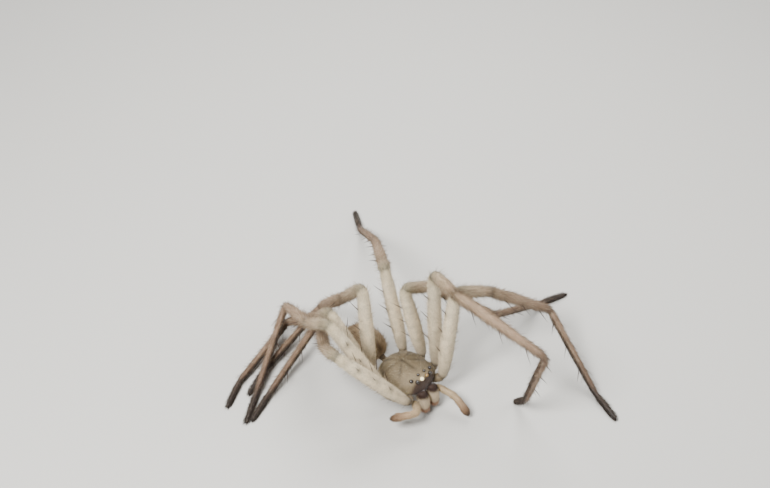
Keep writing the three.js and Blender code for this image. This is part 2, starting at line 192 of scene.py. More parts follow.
# Lights: the way from the sternum along the camera's forward, right and up and then straight up,
# the disk's width, and the power in watts
LIGHTS = {
    "key": dict(way=(-420, -160, 120, 0), size=170, watts=4.3),
    "fill": dict(way=(0, 380, 0, 300), size=300, watts=0.9),
    "rim": dict(way=(260, 0, 0, 460), size=260, watts=1.3),
}
SKY = dict(colour="#eef0f2", strength=0.22)
FLOOR_HALF = 1500

UPRIGHT = 0.94
# These keep a cross product and a sum of chances away from zero
TINY = 1e-6
LEAST_WEIGHT = 1e-9

BODY_LOW, BODY_HIGH = (np.array(corner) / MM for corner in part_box("prosoma"))
STERNUM = np.array([(BODY_LOW[0] + BODY_HIGH[0]) / 2, BODY_HIGH[1] - CARAPACE["back"], 0])


def linear(code):
    """An sRGB hex colour as linear red, green and blue."""
    s = np.array([int(code[i:i + 2], 16) for i in (1, 3, 5)]) / 255
    return np.where(s <= 0.04045, s / 12.92, ((s + 0.055) / 1.055) ** 2.4)


def heading(side, turn, rise):
    """A unit vector turned from straight ahead to its own side, and raised, in degrees."""
    t, r = math.radians(turn), math.radians(rise)
    return np.array([side * math.sin(t) * math.cos(r), -math.cos(t) * math.cos(r), math.sin(r)])


def unit(v):
    """Vectors of length 1, along the last axis."""
    return v / np.maximum(np.linalg.norm(v, axis=-1, keepdims=True), 1e-12)


def across(axis):
    """Two directions across an axis, the first level unless the axis is nearly upright."""
    side = unit(np.cross((0, 1, 0) if abs(axis[2]) > UPRIGHT else (0, 0, 1), axis))
    return side, unit(np.cross(axis, side))


def mix(a, b, share):
    """From a to b by a share."""
    return a * (1 - share) + b * share


def ramp(value, start, end):
    """0 up to start, 1 past end and straight between; end may be the lower of the two."""
    return np.clip((value - start) / (end - start), 0, 1)


def bell(value, middle, width):
    """1 at the middle, and e to the minus square of the distance from it in widths."""
    return np.exp(-((value - middle) / width) ** 2)


def round_off(s, power, least):
    """One less a power of the distance from the middle, which closes a form at its ends."""
    return np.maximum(least, 1 - np.abs(s) ** power)


def between_marks(marks, stations):
    """A number for each station, straight between marks of (station, number)."""
    return np.interp(stations, [s for s, _ in marks], [n for _, n in marks])


def circle(sides):
    """Angles once round in equal steps."""
    return np.linspace(0, 2 * math.pi, sides, endpoint=False)


def keep_above_floor(grid, clear=0.05):
    """Press what lies under the floor flat, just above it."""
    grid[..., 2] = np.maximum(grid[..., 2], clear)
    return grid


def add_object(name, data):
    """A new object of the scene."""
    thing = bpy.data.objects.new(name, data)
    bpy.context.scene.collection.objects.link(thing)
    return thing


def build_mesh(name, points, faces, material, smooth=True):
    """A mesh from points in millimetres and a list of index arrays, one for each face size."""
    mesh = bpy.data.meshes.new(name)
    mesh.vertices.add(len(points))
    mesh.vertices.foreach_set("co", (np.asarray(points) * MM).astype(np.float32).ravel())
    corners = np.concatenate([f.ravel() for f in faces])
    sizes = np.concatenate([np.full(len(f), f.shape[1]) for f in faces])
    starts = np.concatenate([[0], np.cumsum(sizes)[:-1]])
    mesh.loops.add(len(corners))
    mesh.loops.foreach_set("vertex_index", corners.astype(np.int32))
    mesh.polygons.add(len(sizes))
    mesh.polygons.foreach_set("loop_start", starts.astype(np.int32))
    mesh.update(calc_edges=True)
    mesh.validate()
    mesh.polygons.foreach_set("use_smooth", np.full(len(sizes), smooth))
    mesh.materials.append(material)
    return add_object(name, mesh)


def paint(piece, colours):
    """Store a colour for each vertex as the attribute 'tint'."""
    colours = np.clip(colours, 0, 1)
    rgba = np.concatenate([colours, np.ones((len(colours), 1))], axis=1)
    layer = piece.data.attributes.new("tint", "FLOAT_COLOR", "POINT")
    layer.data.foreach_set("color", rgba.astype(np.float32).ravel())


def settle(piece):
    """Let a piece ride on the one body."""
    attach(piece, "root")


def grid_faces(rows, cols):
    """Quads of a grid that closes round its columns, and a fan of triangles at each end pole."""
    i, j = np.meshgrid(np.arange(rows - 1), np.arange(cols), indexing="ij")
    a, b = i * cols + j, i * cols + (j + 1) % cols
    quads = np.stack([a, b, b + cols, a + cols], axis=-1).reshape(-1, 4)
    k = np.arange(cols)
    after = (k + 1) % cols
    last_row = (rows - 1) * cols
    first = np.stack([after, k, np.full(cols, rows * cols)], axis=-1)
    last = np.stack([last_row + k, last_row + after, np.full(cols, rows * cols + 1)], axis=-1)
    return [quads, np.concatenate([first, last])]


def with_poles(field):
    """A grid's values in one row of points, then the means of its first and last ring."""
    return np.concatenate([field.reshape(-1, 3), field[0].mean(0)[None], field[-1].mean(0)[None]])


def skin_piece(name, grid, colours, material, nodes=()):
    """A closed skin over a grid of points, with its poles at the middles of the end rings."""
    piece = build_mesh(name, with_poles(grid), grid_faces(*grid.shape[:2]), MATERIALS[material])
    paint(piece, with_poles(colours))
    settle(piece)
    if nodes:
        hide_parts(*nodes)


def grid_normals(grid):
    """Outward normals, the cross product of a grid's steps round and along, and the steps along."""
    along = np.gradient(grid, axis=0)
    around = np.roll(grid, -1, axis=1) - np.roll(grid, 1, axis=1)
    return unit(np.cross(around, along)), unit(along)


def scatter(grid, weight, count, rng):
    """Places of random roots on a grid, as likely as each quad's area times its weight."""
    span = np.roll(grid, -1, axis=1) - grid
    area = np.linalg.norm(np.cross(span[:-1], grid[1:] - grid[:-1]), axis=-1)
    chance = (area * weight[:-1]).ravel()
    cell = rng.choice(chance.size, size=count, p=chance / chance.sum())
    i, j = np.divmod(cell, grid.shape[1])
    return i, j, rng.random(count), rng.random(count)


def sample(field, place):
    """A grid field at scattered places, mixed from the corners of the quad that holds each."""
    i, j, s, t = place
    k = (j + 1) % field.shape[1]
    s = s.reshape((-1,) + (1,) * (field.ndim - 2))
    t = t.reshape(s.shape)
    low = field[i, j] * (1 - t) + field[i, k] * t
    high = field[i + 1, j] * (1 - t) + field[i + 1, k] * t
    return low * (1 - s) + high * s


def hair_points(roots, normals, lie, length, width, stand):
    """Three-sided tapered hairs: a root ring, a middle ring and a tip, seven points each.

    Each leaves its root between the lie of the coat and the skin's normal, stand degrees from the
    lie, and bends back towards the lie over its outer half.
    """
    length, width, stand = (v[:, None] for v in (length, width, np.radians(stand)))
    lie = unit(lie - (lie * normals).sum(1, keepdims=True) * normals)
    out = unit(lie * np.cos(stand) + normals * np.sin(stand))
    bent = unit(out + HAIR["bend"] * lie)
    side = unit(np.cross(out, normals) + TINY)
    up = np.cross(out, side)
    base = roots - normals * HAIR["root"]
    middle = base + out * length / 2
    spokes = [side * math.cos(a) + up * math.sin(a) for a in np.radians([90, 210, 330])]
    root_ring = [base + s * width / 2 for s in spokes]
    middle_ring = [middle + s * width / 2 * HAIR["middle"] for s in spokes]
    points = np.stack(root_ring + middle_ring + [middle + bent * length / 2], axis=1)
    return keep_above_floor(points, HAIR["floor"])


def coat(name, grid, place, lie, length, width, stand, tints, material):
    """Hairs at scattered places of a grid, laid out on their map as they are on the grid."""
    rows, cols = grid.shape[:2]
    i, j, s, t = place
    normals = unit(sample(grid_normals(grid)[0], place))
    points = hair_points(sample(grid, place), normals, lie, length, width, stand)
    faces = (HAIR_FACES[None] + 7 * np.arange(len(points))[:, None, None]).reshape(-1, 3)
    piece = build_mesh(name, points.reshape(-1, 3), [faces], MATERIALS[material])
    shade = np.repeat(HAIR["shade"], (3, 3, 1))[None, :, None]
    paint(piece, (tints[:, None, :] * shade).reshape(-1, 3))
    corner = np.stack([(j + t) / cols, (i + s) / rows], axis=1) * MAP_SPAN
    spots = np.clip(corner[:, None, :] + PATCH_SPOTS * PATCH, 0, 1).reshape(-1, 2)
    layer = piece.data.uv_layers.new(name="OFBake")
    layer.data.foreach_set("uv", spots[faces.ravel()].astype(np.float32).ravel())
    settle(piece)


def hair_count(full):
    return full


def set_inputs(tree, node, inputs):
    """Give each input of a node its value, or link it to a socket."""
    for key, value in inputs.items():
        if isinstance(value, bpy.types.NodeSocket):
            tree.links.new(value, node.inputs[key])
        else:
            node.inputs[key].default_value = value


def add_node(tree, kind, inputs=None, **settings):
    """Add a shader node with its settings and inputs."""
    node = tree.nodes.new(kind)
    for key, value in settings.items():
        setattr(node, key, value)
    set_inputs(tree, node, inputs or {})
    return node


def new_material(name):
    """A material, its node tree and its shader."""
    material = bpy.data.materials.new(name)
    material.use_nodes = True
    return material, material.node_tree, material.node_tree.nodes["Principled BSDF"]


def mottling(tree, where, size, detail, rough, noise, shade):
    """Noise with blots of one size, and the shade that it gives over a range of the noise."""
    cloud = add_node(tree, "ShaderNodeTexNoise",
                     {"Vector": where, "Scale": 1 / (size * MM), "Detail": detail, "Roughness": rough})
    share = add_node(tree, "ShaderNodeMapRange",
                     {"Value": cloud.outputs["Fac"], "From Min": noise[0], "From Max": noise[1],
                      "To Min": shade[0], "To Max": shade[1]})
    return cloud.outputs["Fac"], share.outputs["Result"]


def cuticle_with_down(name, roughness, grain, bump):
    """Chitin under fine flat down: the painted tint, broken by two sizes of mottling, and a felted bump."""
    material, tree, shader = new_material(name)
    where = add_node(tree, "ShaderNodeTexCoord").outputs["Object"]
    tint = add_node(tree, "ShaderNodeAttribute", attribute_name="tint").outputs["Color"]
    _, blotch = mottling(tree, where, size=2.4, detail=4.0, rough=0.6, noise=(0.3, 0.7), shade=(0.74, 1.14))
    relief, fleck = mottling(tree, where, size=grain, detail=3.0, rough=0.7, noise=(0.25, 0.75),
                             shade=(0.7, 1.2))
    both = add_node(tree, "ShaderNodeMath", {0: blotch, 1: fleck}, operation="MULTIPLY")
    scaled = add_node(tree, "ShaderNodeVectorMath", {0: tint, "Scale": both.outputs["Value"]},
                      operation="SCALE")
    felt = add_node(tree, "ShaderNodeBump", {"Height": relief, "Strength": bump, "Distance": 0.15 * MM})
    set_inputs(tree, shader, {"Base Color": scaled.outputs["Vector"], "Normal": felt.outputs["Normal"],
                              "Roughness": roughness, "IOR": 1.5, "Sheen Weight": 0.25,
                              "Sheen Roughness": 0.4})
    return material


def chitin_hair(name, roughness):
    """Fine chitin hair: the painted tint with a soft gloss along it."""
    material, tree, shader = new_material(name)
    tint = add_node(tree, "ShaderNodeAttribute", attribute_name="tint").outputs["Color"]
    set_inputs(tree, shader, {"Base Color": tint, "Roughness": roughness, "IOR": 1.5})
    return material


def polished_chitin(name, code, roughness, size=0.9, streak=0.25):
    """Bare dark chitin of spines, fangs and claws: smooth and glossy with faint streaks."""
    material, tree, shader = new_material(name)
    where = add_node(tree, "ShaderNodeTexCoord").outputs["Object"]
    noise = add_node(tree, "ShaderNodeTexNoise", {"Vector": where, "Scale": 1 / (size * MM), "Detail": 3.0})
    colours = add_node(tree, "ShaderNodeValToRGB", {"Fac": noise.outputs["Fac"]})
    for stop, strength in zip(colours.color_ramp.elements, (1 - streak, 1 + streak)):
        stop.color = (*np.clip(linear(code) * strength, 0, 1), 1)
    set_inputs(tree, shader, {"Base Color": colours.outputs["Color"], "Roughness": roughness, "IOR": 1.54})
    return material


def wet_lens(name, centre, edge, glow=0.0):
    """A wet eye lens with painted eyeshine: pale where it faces out, darker at its edge; glow is a painted
    glow.
    """
    material, tree, shader = new_material(name)
    facing = add_node(tree, "ShaderNodeLayerWeight", {"Blend": 0.45}).outputs["Facing"]
    colours = add_node(tree, "ShaderNodeValToRGB", {"Fac": facing})
    for stop, code in zip(colours.color_ramp.elements, (centre, edge)):
        stop.color = (*linear(code), 1)
    colours.color_ramp.elements[1].position = 0.75
    set_inputs(tree, shader, {"Base Color": colours.outputs["Color"], "Roughness": 0.04, "IOR": 1.45,
                              "Coat Weight": 1.0, "Coat Roughness": 0.02})
    # Painted glow: the lens gives off light of its own, standing for eyeshine
    if glow:
        set_inputs(tree, shader, {"Emission Color": (*linear(centre), 1), "Emission Strength": glow})
    return material


MATERIALS = dict(
    # Legs and palps: dull felt with small flecks, so that no shell gleams between the hairs
    skin=cuticle_with_down("Downy chitin, legs", 0.62, 0.28, 0.5),
    # Carapace, jaws and abdomen: duller and more uneven, like short worn velvet
    body=cuticle_with_down("Downy chitin, body", 0.7, 0.3, 0.6),
    # Down and bristles: a soft gloss that gives a pale edge against the light
    hair=chitin_hair("Chitin hair, pale", 0.55),
    # Foot pads: almost no gloss, so that the feet look like dark brushes
    brush=chitin_hair("Chitin hair, dark foot pads", 0.7),
    # Spines: dark brown with a narrow highlight along each
    spine=polished_chitin("Dark chitin spine", "#3a2517", 0.35),
    # Fangs and claws: nearly black, with a sharp highlight
    fang=polished_chitin("Black chitin fang", HORN_BLACK, 0.16),
    # The eye that throws the light back: painted eyeshine, a bright warm point with a painted glow
    shine=wet_lens("Eye lens, painted eyeshine glow", "#fff4c8", "#c9b06a", 0.9),
    # The eye beside it: a dim amber bead of painted eyeshine
    amber=wet_lens("Amber lens, dim painted eyeshine", "#8a6a34", "#2a1a0c"),
    # The other six: black beads with one small highlight
    dark=wet_lens("Dark eye lens", "#241a14", "#080605"),
)


def plain(grid, code):
    """One colour all over a grid."""
    return np.broadcast_to(linear(code), grid.shape)


def tinted(base, code, share):
    """Colours mixed towards a hex colour, by a share for each point."""
    return mix(base, linear(code), share[..., None])


def bands(stations, marks, sides):
    """Colours of a limb's grid, mixed by station between marks of (station, hex colour)."""
    at = [s for s, _ in marks]
    codes = np.array([linear(c) for _, c in marks])
    rows = np.stack([np.interp(stations, at, codes[:, i]) for i in range(3)], axis=-1)
    return rows[:, None, :].repeat(sides, axis=1)


def leg_joints(leg, side):
    """The joints from the coxa's root to the tip; the metatarsus falls as far as its foot needs."""
    size = leg["size"]
    hip = np.array([side * leg["aside"], -leg["ahead"], BODY_Z])
    root = hip - unit(np.array([hip[0], hip[1] * COXA["sweep"], 0])) * COXA["reach"]
    root[2] = BODY_Z - COXA["drop"]
    joints = [root, hip]
    for part in ("femur", "patella", "tibia"):
        joints.append(joints[-1] + heading(side, *leg[part]) * LENGTH[part] * size)
    foot_fall = leg.get("fall", FOOT["fall"])
    slope = math.radians(foot_fall)
    tip_z = FOOT["axis_z"] * math.cos(slope) ** 2
    drop = joints[-1][2] - tip_z - LENGTH["tarsus"] * size * math.sin(slope)
    fall = math.degrees(math.asin(drop / (LENGTH["metatarsus"] * size)))
    for part, turn, down in zip(("metatarsus", "tarsus"), leg["foot"], (fall, foot_fall)):
        joints.append(joints[-1] + heading(side, turn, -down) * LENGTH[part] * size)
    return np.array(joints) + STERNUM


def rounded_path(joints, stations, fillet):
    """Points along a bent limb at stations, its corners rounded.

    Within a fillet's length of a joint the straight run gives way to a quadratic curve whose
    handle is the joint.
    """
    last = len(joints) - 1
    k = np.clip(np.floor(stations).astype(int), 0, last - 1)
    share = (stations - k)[:, None]
    path = joints[k] * (1 - share) + joints[k + 1] * share
    for j in range(1, last):
        before, after = joints[j - 1] - joints[j], joints[j + 1] - joints[j]
        reach = [min(fillet[j] / np.linalg.norm(v), 0.5) for v in (before, after)]
        t = 0.5 + (stations - j) / (2 * np.where(stations < j, *reach))
        near = (t > 0) & (t < 1)
        q = t[near][:, None]
        start, end = joints[j] + before * reach[0], joints[j] + after * reach[1]
        path[near] = (1 - q) ** 2 * start + 2 * q * (1 - q) * joints[j] + q ** 2 * end
    return path


def carried_frames(path, start, first):
    """Unit vectors across a path, carried along it both ways from one ring with no twist."""
    tangent = unit(np.gradient(path, axis=0))
    top = np.zeros_like(path)
    top[start] = unit(first - first @ tangent[start] * tangent[start])
    for step, stop in ((1, len(path)), (-1, -1)):
        for i in range(start + step, stop, step):
            v = top[i - step]
            top[i] = unit(v - v @ tangent[i] * tangent[i])
    return top, np.cross(tangent, top)


def rings_about(path, radius, angle, first, start=0):
    """Rings of points about a path: a radius for each ring, or each point of it, angle 0 at the top.

    The ring start has its top towards first.
    """
    top, flank = carried_frames(path, start, np.asarray(first, float))
    spoke = top[:, None] * np.cos(angle)[:, None] + flank[:, None] * np.sin(angle)[:, None]
    return path[:, None] + spoke * radius[..., None]


def shape_along(shape, stations):
    """Half thickness at stations: straight between marks, then smoothed over five rings."""
    raw = between_marks(shape, stations)
    padded = np.concatenate([[raw[0]] * 2, raw, [raw[-1]] * 2])
    return np.convolve(padded, [0.1, 0.2, 0.4, 0.2, 0.1], mode="valid")


def limb_stations(segments, each, crowd=0.6):
    """Stations that crowd towards each joint: part as a cosine does, the rest in equal steps."""
    s = (1 - np.cos(np.linspace(0, math.pi, each, endpoint=False))) / 2
    mixed = crowd * s + (1 - crowd) * np.arange(each) / each
    return np.concatenate([k + mixed for k in range(segments)] + [[segments]])


def limb_grid(joints, shape, each, sides, fillet, bend_joint, ridge):
    """A limb's skin: rings of the shape's half thickness about the rounded path.

    Angle 0 is the back of the limb, away from the inside of the bend at bend_joint. The ridge
    lifts the back and draws the flanks in, as the cosine of twice the angle does.
    """
    stations = limb_stations(len(joints) - 1, each)
    path = rounded_path(joints, stations, fillet)
    angle = circle(sides)
    radius = shape_along(shape, stations)[:, None] * (1 + ridge * np.cos(2 * angle))
    start = int(np.searchsorted(stations, bend_joint)) - 1
    grid = rings_about(path, radius, angle, joints[bend_joint] - joints[bend_joint + 1], start)
    return keep_above_floor(grid), stations, angle


def inside(angle):
    """How far a point lies on the inside of a limb's bend: 0 on its back, 1 straight under."""
    return 0.5 - 0.5 * np.cos(angle)


def leg_colours(grid, stations, angle, sockets):
    """Pale femurs, pinkish shanks and dark feet, with painted shade on the inside of the bend.

    A dark dot lies round the socket of each spine, and the soles are darker than the feet.
    """
    base = bands(stations, LEG_COLOURS, len(angle))
    for socket in sockets:
        dot = bell(np.linalg.norm(grid - socket, axis=-1), 0, 0.85)
        base = tinted(base, "#3a2a1e", 0.7 * dot)
    sole = ramp(stations, 4.05, 4.05 + 1 / 3)[:, None] * ramp(inside(angle), 0.5, 1)
    # Painted shade: the inside of the bend is darkened by up to 0.22; the soles are darker for their dark
    # pads
    return base * (1 - 0.22 * inside(angle) - 0.5 * sole)[..., None]


def vary(number):
    """A repeatable number between -1 and 1: the fraction left of a large sine."""
    wave = math.sin(number * 12.9898) * 43758.5453
    return 2 * (wave - math.floor(wave)) - 1


def is_clear(tip, name, own, joints):
    """Whether a spine's tip keeps off the floor, the other legs and the rest of its own leg."""
    if tip[2] < SPINE["floor"]:
        return False
    for other, points in joints.items():
        need = SPINE["clear"] + (RADIUS["ankle"] if other == name else RADIUS["femur"])
        for i, (start, end) in enumerate(zip(points[:-1], points[1:])):
            run = end - start
            share = np.clip((tip - start) @ run / (run @ run), 0, 1)
            if not (other == name and i == own) and np.linalg.norm(start + share * run - tip) <= need:
                return False
    return True


def leg_spines(name, joints):
    """Root, direction, direction of the segment and length of each spine, as on the solids."""
    points, rows = joints[name], []
    lean = math.radians(SPINE["lean"])
    for part, k, shares, angles, length in SPINES:
        run = points[k + 1] - points[k]
        axis = unit(run)
        u, v = across(axis)
        for i, share in enumerate(shares):
            for j, degrees in enumerate(angles):
                number = 100 * k + 10 * i + j + 7 * list(LEGS).index(name)
                angle = math.radians(degrees + SPINE["turn"] * vary(number))
                stretch = 1 + SPINE["stretch"] * vary(number + 0.5)
                reach = length * LEGS[name]["size"] * stretch + SPINE["sunk"]
                spoke = u * math.cos(angle) + v * math.sin(angle)
                out = spoke * math.sin(lean) + axis * math.cos(lean)
                start = points[k] + run * share + spoke * (RADIUS[part] - SPINE["sunk"])
                if is_clear(start + out * reach, name, k, joints):
                    rows.append((start, out, axis, reach))
    return [np.array(column) for column in zip(*rows)]


def cone_points(root, out, towards, length, radius):
    """Tapered spikes that curve towards a direction by the square of the distance from the root.

    The radius falls to the tip by a power below one, so each stays stout and closes quickly.
    """
    s = np.linspace(0, 1, SPIKE["rings"])[None, :, None, None]
    a = circle(SPIKE["sides"])[None, None, :, None]
    side = unit(np.cross(out, towards + TINY))
    up = np.cross(out, side)
    root, out, towards, side, up = (v[:, None, None] for v in (root, out, towards, side, up))
    length, radius = (v[:, None, None, None] for v in (length, radius))
    ring = radius * (1 - s * (1 - SPIKE["tip"])) ** SPIKE["power"]
    curve = out * s * length + towards * s ** 2 * length * SPIKE["curve"]
    return root + curve + (side * np.cos(a) + up * np.sin(a)) * ring


def spikes(name, root, out, towards, length, radius, material):
    """Many spikes as one piece, each closed at its root and tip."""
    points = keep_above_floor(cone_points(root, out, towards, length, radius), SPIKE["floor"])
    count, rings, sides = points.shape[:3]
    block = np.stack([with_poles(spike) for spike in points])
    step = (np.arange(count) * block.shape[1])[:, None, None]
    faces = [(f[None] + step).reshape(-1, f.shape[1]) for f in grid_faces(rings, sides)]
    settle(build_mesh(name, block.reshape(-1, 3), faces, MATERIALS[material]))


def lie_along(grid, place):
    """Directions towards a limb's tip at scattered places."""
    return unit(sample(grid_normals(grid)[1], place))


def leg_down(name, grid, station, colours, size, rng):
    """Short down, denser on the shank and sparse at the root; a quarter of the hairs is paler."""
    count = hair_count(9500)
    shank = (station > 2) & (station < 5)
    place = scatter(grid, np.where(station < 0.25, 0.1, 1 + 0.5 * shank), count, rng)
    length = between_marks(DOWN_LENGTH, sample(station, place)) * rng.uniform(0.7, 1.3, count)
    stand = np.clip(rng.normal(30, 9, count), 8, 65)
    tints = sample(colours, place) * rng.uniform(0.82, 1.22, (count, 1))
    pale = rng.random(count) < 0.25
    tints[pale] = mix(tints[pale], linear("#d9cbac"), 0.4)
    width = rng.uniform(0.05, 0.085, count)
    coat(name + "_down", grid, place, lie_along(grid, place), length * size, width, stand, tints,
         "hair")


def leg_bristles(name, grid, station, colours, size, rng):
    """Long stiff bristles that stand off the leg, most on the shank."""
    count = hair_count(900)
    shank = (station > 2) & (station < 5)
    place = scatter(grid, np.where(station < 1, 0.1, 1 + shank), count, rng)
    length = rng.uniform(1.6, 2.9, count) * between_marks(BRISTLE_SHARE, sample(station, place))
    tints = mix(sample(colours, place), linear("#6a5240"), 0.45) * rng.uniform(0.7, 1.2, (count, 1))
    width = rng.uniform(0.06, 0.09, count)
    stand = rng.uniform(35, 70, count)
    coat(name + "_bristles", grid, place, lie_along(grid, place), length * size, width, stand, tints,
         "hair")


def leg_foot_pad(name, grid, station, angle, size, rng):
    """A dense dark brush under the last two segments and round the tarsus."""
    count = hair_count(3000)
    sole = np.clip(inside(angle) * 2.4 - 1.3, 0, 1) * (station > 4.05)
    place = scatter(grid, sole + (station > 5.1) * 0.35 + LEAST_WEIGHT, count, rng)
    length = between_marks(PAD_LENGTH, sample(station, place)) * rng.uniform(0.8, 1.15, count)
    tints = linear("#33281f") * rng.uniform(0.6, 1.6, (count, 1))
    width = rng.uniform(0.05, 0.08, count)
    stand = rng.uniform(45, 75, count)
    coat(name + "_foot_pad", grid, place, lie_along(grid, place), length * size, width, stand, tints,
         "brush")


def make_claws(name, joints):
    """Two small hooked claws beyond the tip of the foot."""
    along = unit(joints[-1] - joints[-2])
    side = unit(np.cross(along, (0, 0, 1)))
    both = np.array([side, -side])
    root = joints[-1] + (0, 0, CLAW["raised"]) + both * CLAW["apart"] - along * CLAW["sunk"]
    out = unit(along + both * CLAW["splay"] + (0, 0, CLAW["splay"]))
    down = np.array([[0, 0, -CLAW["hook"]]] * 2)
    length, radius = np.full(2, CLAW["length"]), np.full(2, CLAW["radius"])
    spikes(name + "_claws", root, out, down, length, radius, "fang")


def make_leg(name, leg, all_joints):
    """One leg: its skin, the three sorts of hair, the spines and the claws."""
    rng = np.random.default_rng(100 + 10 * int(name[1]) + (name[0] == "l"))
    joints = all_joints[name]
    grid, stations, angle = limb_grid(joints, LEG_SHAPE, **LEG_RINGS)
    roots, out, along, lengths = leg_spines(name, all_joints)
    colours = leg_colours(grid, stations, angle, roots)
    nodes = [f"{name}_{part}" for part in ("coxa", "femur", "patella_tibia", "metatarsus", "tarsus")]
    skin_piece(name + "_skin", grid, colours, "skin", nodes)
    station = stations[:, None].repeat(len(angle), axis=1)
    hair_size = leg["size"] ** 0.5
    leg_down(name, grid, station, colours, hair_size, rng)
    leg_bristles(name, grid, station, colours, hair_size, rng)
    leg_foot_pad(name, grid, station, angle, hair_size, rng)
    radius = rng.uniform(*SPINE["radius"], len(roots))
    spikes(name + "_spines", roots, out, along, lengths, radius, "spine")
    make_claws(name, joints)


def carapace_grid(inset=0.25, rows=72, cols=96):
    """The carapace above its rim and the sternum below, as rings along the body.

    Half width, dome height and depth each fall to the ends as a root of one less a power of the
    distance. Seven grooves run out from the pit in the middle, where a sine of the angle round it
    crosses zero, and the head stands a little proud of the rest.
    """
    c = CARAPACE
    s = -np.cos(np.linspace(0, math.pi, rows))[:, None]
    front = s > 0
    narrow = np.where(front, 1 - 0.2 * s ** 2, 1)
    half = c["width"] / 2 * narrow * round_off(s, np.where(front, 5, 2.5), 0.03) ** 0.5
    top = c["rise"] * round_off(s * 0.98, np.where(front, 9, 2.4), 0.03) ** 0.6
    deep = (c["rim"] - c["sternum"]) * round_off(s, 3, 0.05) ** 0.5
    a = circle(cols)[None, :]
    up = np.sin(a)
    lateral = np.sign(np.cos(a)) * np.abs(np.cos(a)) ** np.where(up > 0, 0.92, 0.8)
    spread = np.where(up < 0, 1 - 0.42 * np.abs(up), 1)
    x = half * lateral * spread
    y = -s * np.where(front, c["front"], c["back"]) + 0 * a
    z = c["rim"] + np.where(up > 0, top, deep) * up
    outward = unit(np.stack([x / 7.0, (y + 0.2) / 8.0, (z - c["rim"]) / 4.4], axis=-1))
    grid = np.stack([x, y, z], axis=-1) - outward * inset
    x, behind = grid[..., 0], grid[..., 1] - PIT["y"]
    far = np.hypot(x, behind)
    groove = bell(np.sin(np.arctan2(x, -behind) * GROOVES["waves"]), 0, GROOVES["width"])
    groove *= ramp(far, 0, GROOVES["full"]) * ramp(far, GROOVES["end"], GROOVES["end"] - GROOVES["fade"])
    pit = bell(x, 0, PIT["width"]) * bell(behind, 0, PIT["length"])
    head = bell(x, 0, HEAD["width"]) * bell(grid[..., 1], HEAD["y"], HEAD["length"])
    above = np.clip(up, 0, 1) ** 0.5 * np.ones_like(x)
    grid[..., 2] += (head * HEAD["rise"] - groove * GROOVES["depth"] - pit * PIT["depth"]) * above
    return grid + STERNUM, far, (0.7 * groove + 0.8 * pit) * above


def carapace_colours(grid, far, hollow):
    """Olive brown dome with a dark pit and grooves, a pale band round the rim and a dark face."""
    y, z = grid[..., 1] - STERNUM[1], grid[..., 2] - STERNUM[2]
    base = mix(linear("#60533b"), linear("#7f7056"), ramp(far, 0, 7)[..., None])
    base = tinted(base, "#30261a", hollow)
    base = tinted(base, "#b39f78", 0.75 * bell(z, CARAPACE["rim"] + 0.4, 0.7) * (y > -6))
    face = ramp(y, -6.2, -6.9) * ramp(z, 12.1, 11.4)
    base = tinted(base, FACE_BROWN, face * 0.96)
    return tinted(base, "#6d5a41", ramp(z, CARAPACE["rim"] - 0.5, CARAPACE["rim"] - 1.5) * (1 - face))


def body_coat(name, grid, colours, weight, count, reach, lie_field, stand, rng, width=(0.05, 0.09)):
    """Short hair over a body form, lying along a field of directions."""
    count = hair_count(count)
    place = scatter(grid, weight, count, rng)
    tints = sample(colours, place) * rng.uniform(0.86, 1.18, (count, 1))
    length = sample(reach, place) * rng.uniform(0.7, 1.3, count)
    angle = np.clip(rng.normal(stand, 9, count), 5, 80)
    lie = unit(sample(lie_field, place) + rng.normal(0, 0.16, (count, 3)))
    coat(name, grid, place, lie, length, rng.uniform(*width, count), angle, tints, "hair")


def make_prosoma():
    """The head and thorax: skin, down with bare eyes, and a pale fringe round the rim."""
    grid, far, hollow = carapace_grid()
    colours = carapace_colours(grid, far, hollow)
    skin_piece("prosoma_skin", grid, colours, "body", ["prosoma"])
    local = grid - STERNUM
    y, z = local[..., 1], local[..., 2]
    rng = np.random.default_rng(7)
    back = local * (0.25, 0, 0) + (0, 1.0, 0)
    weight = np.where(z < 6, 0.3, 1.0)
    for eye in EYES.values():
        for side in (1, -1):
            away = np.linalg.norm(local - (side * eye["side"], -eye["ahead"], eye["z"]), axis=-1)
            weight = weight * (away > eye["radius"] + 0.25)
    reach = np.where(y < -6.5, 0.45, 0.6)
    body_coat("prosoma_down", grid, colours * 1.15, weight, 15000, reach, unit(back), 24, rng)
    rim = (bell(z, CARAPACE["rim"] + 0.3, 0.8) + 0.03) * (y > -5.8)
    body_coat("prosoma_fringe", grid, mix(colours, linear("#d8cdb0"), 0.4), rim * weight, 3000,
              reach * 1.7, unit(back + local * (0.3, 0.1, 0)), 40, rng)


def abdomen_grid(inset=0.3, rows=64, cols=72):
    """An egg, fuller behind, that sinks a little towards the rear.

    Each ring is a circle squashed to the width and height, and its size is the root of one less
    a power of the distance from the middle.
    """
    b = ABDOMEN
    s = -np.cos(np.linspace(0, math.pi, rows))[:, None]
    reach = round_off(s, 2.3, 0.02) ** 0.5 * (1 + 0.08 * s)
    a = circle(cols)[None, :]
    x = -np.cos(a) * (b["width"] / 2 - inset) * reach
    y = b["front"] + inset + (b["length"] - 2 * inset) * (1 + s) / 2 + 0 * a
    z = b["z"] - b["sink"] * s + np.sin(a) * (b["height"] / 2 - inset) * reach
    return np.stack([x, y, z], axis=-1) + STERNUM


